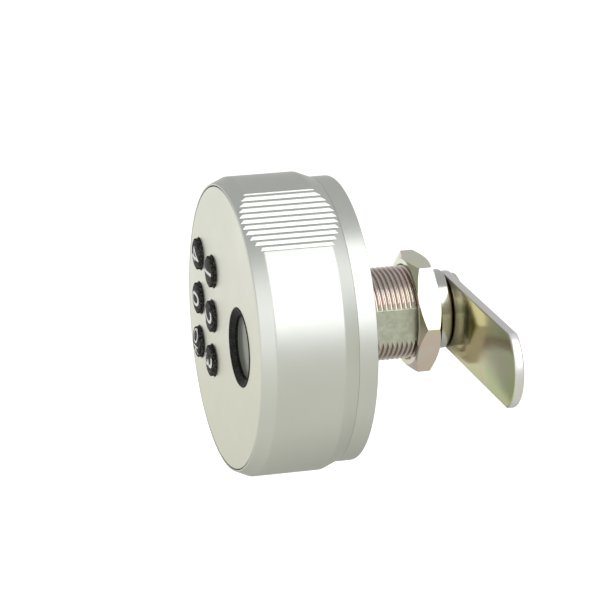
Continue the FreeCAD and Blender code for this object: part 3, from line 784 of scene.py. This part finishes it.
def reader():
    """The sloping black ring, clipped in the plate by its flange, and the window sunk in it."""
    flange_back, seat_r = plate_back + 0.8, window_r + 0.05
    outline = softened([
        (bezel_bore_r, bezel_top + bezel_slope, 0.1), (bezel_r - 0.2, bezel_top, 0.06),
        (bezel_r, bezel_top, 0.06), (bezel_r, plate_back), (bezel_flange_r, plate_back),
        (bezel_flange_r, flange_back), (seat_r, flange_back), (seat_r, window_front),
        (bezel_bore_r, window_front)])
    bezel = turned("reader_bezel", outline, (reader_x, 0.0), 160)
    finished(bezel, "knob", bezel_black, "sensor_bezel", smooth=15)
    outline = softened([(0, window_front), (window_r, window_front, 0.1),
                        (window_r, flange_back), (0, flange_back)])
    window = turned("reader_window", outline, (reader_x, 0.0), 128, loop=False)
    finished(window, "knob", window_grey, "sensor_window", smooth=15)


# Base ring on the door

def rosette():
    """The base ring, with the seal's groove, the flange's seat, the stop slot and all holes."""
    outline = softened([
        (9.55, seat), (ring_r, seat, 0.25), (ring_r, lip_front, 0.05), (28.1, lip_front),
        (28.0, ring_front), (28.0, ring_front + 1.2), (26.4, ring_front + 1.2), (26.4, ring_front),
        (15.1, ring_front), (15.1, flange_back), (9.55, flange_back)])
    ring = turned("rosette", outline, segments=256)
    slot_deep = knob_rear + 2.3 + 0.1
    half = stop_r + pin_gap
    corners = [(polar(pin_circle_r + r, stop_angle), y) for r, y in
               ((-half, ring_front - 0.1), (half, ring_front - 0.1), (half, slot_deep),
                (-half, slot_deep))]
    slot = drawn("stop_slot", [(x, y, z) for (x, z), y in corners + corners[:1]])
    bpy.ops.mesh.select_all(action="SELECT")
    bpy.ops.mesh.remove_doubles(threshold=0.0005)
    bpy.ops.mesh.edge_face_add()
    bpy.ops.mesh.spin(steps=48, angle=math.radians(quarter_turn), center=(0, 0, 0), axis=(0, 1, 0))
    combined(ring, closed(slot))
    for turn in (stop_angle, stop_angle + quarter_turn):
        combined(ring, rod("slot_end", half, ring_front - 0.1, slot_deep,
                           polar(pin_circle_r, turn), 48))
    for turn in (0.0, quarter_turn):
        combined(ring, rod("lock_hole", pin_r + pin_gap, ring_front - 0.1, lock_hole_end,
                           polar(pin_circle_r, turn), 48))
    for angle in barrel_screw_angles:
        combined(ring, rod("screw_way", 1.25, flange_back - 0.1, -0.5,
                           polar(barrel_screw_circle_r, angle), 32))
    return finished(ring, "lock_base", satin_aluminium, "base_ring")


# Threaded barrel with two flats

def thread_rod(name, start, end):
    """A threaded bar: one pitch of the thread, wound along the axis and cut square at both ends."""
    root = barrel_r - thread_depth
    first = start - 1.5 * thread_pitch
    profile = [(root, 0.0), (root, 0.12), (barrel_r - 0.04, 0.44), (barrel_r, 0.48),
               (barrel_r, 0.54), (barrel_r - 0.04, 0.58), (root, 0.90), (root, 1.0)]
    bar = drawn(name, [(r, first + y * thread_pitch, 0) for r, y in profile])
    bpy.ops.object.mode_set(mode="OBJECT")
    bpy.ops.object.transform_apply(location=True, rotation=True, scale=True)
    wind = bar.modifiers.new("wind", "SCREW")
    wind.axis = "Y"
    wind.screw_offset = thread_pitch
    wind.angle = 2 * math.pi
    wind.iterations = math.ceil((end - start) / thread_pitch) + 3
    wind.steps = wind.render_steps = 96
    bpy.ops.object.modifier_apply(modifier="wind")
    bpy.ops.object.mode_set(mode="EDIT")
    bpy.ops.mesh.select_all(action="SELECT")
    bpy.ops.mesh.remove_doubles(threshold=0.002)
    for plane, outer in ((start, False), (end, True)):
        bpy.ops.mesh.select_all(action="SELECT")
        bpy.ops.mesh.bisect(plane_co=(0, plane, 0), plane_no=(0, 1, 0), use_fill=True,
                            clear_inner=not outer, clear_outer=outer)
    return closed(bar)


def barrel_threaded():
    """The barrel: thread, flats, burr, flange, bore and the flange's screw holes."""
    burr = rod("burr", burr_r, 0.3, nut_front, (flat_x, burr_z), 24)
    barrel = thread_rod("barrel_threaded", flange_back - 0.3, barrel_end)
    trimmed = [(0, flange_back - 1), (barrel_r + 0.5, flange_back - 1),
               (barrel_r + 0.5, barrel_end - 1.1), (barrel_r - 0.75, barrel_end + 0.15),
               (0, barrel_end + 0.15)]
    combined(barrel, turned("end_shape", trimmed, segments=128, loop=False), "INTERSECT")
    for side in (-1, 1):
        inner, outer = side * flat_x, side * (barrel_r + 1)
        corners = [(inner, 0, -barrel_r), (outer, 0, -barrel_r), (outer, 0, barrel_r),
                   (inner, 0, barrel_r)]
        combined(barrel, prism("flat", corners, (0, barrel_end + 1, 0)))
    combined(barrel, burr, "UNION")
    flange = turned("flange", softened([(0, ring_front), (flange_r, ring_front, 0.1),
                                        (flange_r, flange_back, 0.1), (0, flange_back)]),
                    segments=128, loop=False)
    combined(barrel, flange, "UNION")
    bore = softened([(0, ring_front - 0.1), (bore_r + 0.5, ring_front - 0.1),
                     (bore_r, ring_front + 0.4), (bore_r, barrel_end - 0.3),
                     (bore_r + 0.4, barrel_end + 0.1), (0, barrel_end + 0.1)])
    combined(barrel, turned("bore", bore, segments=96, loop=False))
    for angle in barrel_screw_angles:
        hole = [(0, ring_front - 0.1), (2.35, ring_front - 0.1), (2.25, ring_front),
                (1.3, ring_front + 1.2), (1.3, flange_back + 0.1), (0, flange_back + 0.1)]
        combined(barrel, turned("screw_way", hole, polar(barrel_screw_circle_r, angle), 32,
                                loop=False))
    return finished(barrel, "lock_base", barrel_zinc, "threaded_barrel", smooth=8)


# Hexagon pieces

def chamfered_hexagon(name, flats, start, end, turn, land_r, bevel_front, bevel_back):
    """A hexagon turned down at its corners, as a nut or bolt head is."""
    corner_r = flats / 2 / math.cos(math.radians(30)) + 0.05
    blank = hexagon(name, flats, start, end, turn)
    outline = [(0, start)]
    if bevel_front:
        outline += [(land_r, start), (corner_r, start + bevel_front)]
    else:
        outline += [(corner_r + 0.3, start)]
    outline += [(corner_r + (0 if bevel_front else 0.3), end - bevel_back), (land_r, end), (0, end)]
    envelope = turned("turned_down", outline, segments=180, loop=False)
    return combined(blank, envelope, "INTERSECT")


def lock_nut():
    """The clamping nut, with a chamfered bore."""
    nut = chamfered_hexagon("lock_nut", nut_flats, nut_front, nut_back, nut_turn,
                            nut_flats / 2 - 0.2, 1.15, 1.15)
    bore_in, bore_out = barrel_r + 0.05, barrel_r + 0.45
    bore = [(0, nut_front - 0.1), (bore_out, nut_front - 0.1), (bore_in, nut_front + 0.35),
            (bore_in, nut_back - 0.35), (bore_out, nut_back + 0.1), (0, nut_back + 0.1)]
    combined(nut, turned("bore", bore, segments=128, loop=False))
    return finished(nut, "lock_base", yellow_zinc, "hex_nut")


def spindle_turned():
    """The turning shaft: stub, two squares, disc and the cam bolt's threaded hole."""
    stub_end = span("spindle", "y")[0]
    outline = softened([
        (0, stub_end), (4.0, stub_end, 0.4), (4.0, hub_front), (spindle_r, hub_front),
        (spindle_r, disc_front), (disc_r, disc_front, 0.3), (disc_r, cam_front, 0.6),
        (spindle_r, cam_front), (spindle_r, cam_back - 0.1, 0.3), (0, cam_back - 0.1)])
    spindle = turned("spindle_turned", outline, segments=160, loop=False)
    for start, end in ((hub_front, knob_rear), (cam_front, cam_back + 0.2)):
        ring = turned("ring", [(0, start), (8, start), (8, end), (0, end)], segments=64, loop=False)
        combined(ring, square_bar("square", square_half, spindle_r + 0.2, start - 0.1, end + 0.1))
        combined(spindle, ring)
    combined(spindle, rod("thread_hole", bolt_r + 0.05, bolt_front - bolt_long - 0.1,
                          cam_back + 0.2, segments=64))
    return finished(spindle, "knob", bright_zinc, "spindle")


def cam_blade():
    """The cam: round at the hub, straight sides, a shallow arc at its tip, bevelled edges."""
    outline = [polar(cam_half, 90 + 180 * i / 32) for i in range(33)]
    bulge = cam_reach - cam_shoulder
    tip_r = (cam_half ** 2 + bulge ** 2) / (2 * bulge)
    centre = cam_reach - tip_r
    reach = math.asin(cam_half / tip_r)
    for i in range(25):
        a = -reach + 2 * reach * i / 24
        outline.append((centre + tip_r * math.cos(a), tip_r * math.sin(a)))
    blade = prism("cam_blade", [(x, cam_front, z) for x, z in outline],
                  (0, cam_back - cam_front, 0))
    for level in (cam_front, cam_back):
        picked_edges(blade, lambda p: abs(p.y - level) < 0.001)
        bpy.ops.mesh.bevel(offset=0.45, segments=5, profile=0.5, affect="EDGES")
        bpy.ops.object.mode_set(mode="OBJECT")
    combined(blade, square_bar("square", square_half + 0.05, spindle_r + 0.05, cam_front - 0.5,
                               cam_back + 0.5))
    return finished(blade, "knob", cam_zinc, "cam", smooth=20)


def tail():
    """The washer and bolt behind the cam."""
    outline = softened([(3.1, cam_back), (washer_r, cam_back, 0.1), (washer_r, bolt_front, 0.2),
                        (3.1, bolt_front, 0.1)])
    washer = turned("tail_washer", outline, segments=128)
    finished(washer, "knob", yellow_zinc, "cam_washer")
    bolt = chamfered_hexagon("tail_bolt", bolt_flats, bolt_front, bolt_back, bolt_turn,
                             bolt_flats / 2 - 0.05, 0, 0.5)
    combined(bolt, rod("shank", bolt_r, bolt_front - bolt_long, bolt_front + 0.5, segments=64),
             "UNION")
    finished(bolt, "knob", yellow_zinc, "cam_bolt")


knob_body()
plate_disc()
keypad()
keypad_mat()
reader()
rosette()
barrel_threaded()
lock_nut()
spindle_turned()
cam_blade()
tail()

# Materials of the CAD pieces that stay as they are
kept_looks = {
    "bright_zinc": bright_zinc, "mat_rubber": mat_rubber, "black_plastic": moulded_black,
    "board_laminate": board_green, "pin_steel": ground_steel, "contact_brass": spring_brass}
for part in frame["record"]["subparts"]:
    if part["material_slot"] in kept_looks:
        mesh = frame["nodes"][part["node"]].data
        mesh.materials.clear()
        mesh.materials.append(kept_looks[part["material_slot"]])


# Floor, light and camera

def floor():
    """A plain pale floor."""
    only_nothing()
    bpy.ops.mesh.primitive_plane_add(size=8, location=(0, 0, -0.075))
    plane = added("floor")
    bpy.ops.mesh.subdivide(number_cuts=3)
    bpy.ops.object.mode_set(mode="OBJECT")
    bpy.ops.object.transform_apply(location=True, rotation=True, scale=True)
    look = bpy.data.materials.new("floor paper")
    look.use_nodes = True
    surface = look.node_tree.nodes["Principled BSDF"]
    surface.inputs["Base Color"].default_value = (0.92, 0.92, 0.92, 1)
    surface.inputs["Roughness"].default_value = 0.9
    surface.inputs["Specular IOR Level"].default_value = 0.1
    surface.inputs["Emission Color"].default_value = (1, 1, 1, 1)
    surface.inputs["Emission Strength"].default_value = 0.42
    plane.data.materials.append(look)


def table_card():
    """A warm grey glowing card, seen only in reflections, with a painted shadow of the lock in its
    glow: dimmer beneath the lock, and dimmer towards +Y.
    """
    only_nothing()
    bpy.ops.mesh.primitive_plane_add(size=1, location=(0.22, -0.05, -0.07))
    card = added("table_card")
    bpy.ops.transform.resize(value=(0.84, 1.6, 1))
    bpy.ops.object.mode_set(mode="OBJECT")
    bpy.ops.object.transform_apply(location=True, rotation=True, scale=True)
    look = bpy.data.materials.new("table card")
    look.use_nodes = True
    tree = look.node_tree
    surface = tree.nodes["Principled BSDF"]
    surface.inputs["Base Color"].default_value = (0, 0, 0, 1)
    surface.inputs["Specular IOR Level"].default_value = 0
    surface.inputs["Emission Color"].default_value = (1, 1, 0.91, 1)
    place = node(tree, "ShaderNodeTexCoord").outputs["Object"]
    parts = node(tree, "ShaderNodeSeparateXYZ", Vector=place)
    # Painted shadow: the glow is dimmed near a spot beneath the lock; it also dims towards +Y.
    away = node(tree, "ShaderNodeVectorMath", {"operation": "DISTANCE"}, n0=place,
                n1=(-0.045, 0.012, -0.07))
    painted_lock_shadow = node(tree, "ShaderNodeMapRange", n0=away.outputs["Value"], n1=0.03, n2=0.10,
                     n3=0.60, n4=1.0)
    along = node(tree, "ShaderNodeMapRange", n0=parts.outputs[1], n1=0.05, n2=-0.12, n3=0.79,
                 n4=0.98)
    level = node(tree, "ShaderNodeMath", {"operation": "MULTIPLY"}, n0=painted_lock_shadow.outputs[0],
                 n1=along.outputs[0])
    tree.links.new(level.outputs[0], surface.inputs["Emission Strength"])
    card.data.materials.append(look)
    card.visible_camera = card.visible_diffuse = card.visible_shadow = False


def softbox(name, place, width, height, radiance):
    """A soft rectangular lamp that faces the origin."""
    bpy.ops.object.light_add(type="AREA", location=place)
    lamp = bpy.context.object
    lamp.name = name
    lamp.data.shape = "RECTANGLE"
    lamp.data.size, lamp.data.size_y = width, height
    lamp.data.energy = radiance * math.pi * width * height
    lamp.rotation_mode = "QUATERNION"
    lamp.rotation_quaternion = (-Vector(place)).to_track_quat("-Z", "Y")
    lamp.visible_camera = False


def studio():
    """A bright even room and three soft lamps."""
    world = bpy.data.worlds.new("studio")
    bpy.context.scene.world = world
    world.use_nodes = True
    world.node_tree.nodes["Background"].inputs["Color"].default_value = (1, 1, 1, 1)
    world.node_tree.nodes["Background"].inputs["Strength"].default_value = 0.62
    softbox("key_softbox", (0.315, 0.133, 0.303), 0.40, 0.58, 1.85)
    softbox("rear_fill", (0.177, 0.438, 0.369), 0.40, 0.40, 0.8)
    softbox("front_fill", (0.52, -0.52, 0.30), 0.62, 0.75, 1.0)
    bpy.context.scene.view_settings.view_transform = "Standard"


def camera():
    """The photograph's point of view, with a long lens."""
    azimuth, elevation = math.radians(74.13), math.radians(18.21)
    target = Vector((0, -0.00767, 0.00444))
    back = Vector((math.sin(azimuth) * math.cos(elevation),
                   -math.cos(azimuth) * math.cos(elevation), math.sin(elevation)))
    distance = 0.6171
    bpy.ops.object.camera_add(location=target + back * distance)
    cam = bpy.context.object
    cam.rotation_mode = "QUATERNION"
    cam.rotation_quaternion = (-back).to_track_quat("-Z", "Y")
    cam.data.sensor_width = 36
    cam.data.lens = 183.98
    cam.data.clip_start, cam.data.clip_end = 0.01, 50
    bpy.context.scene.camera = cam


only_nothing()
floor()
table_card()
studio()
camera()
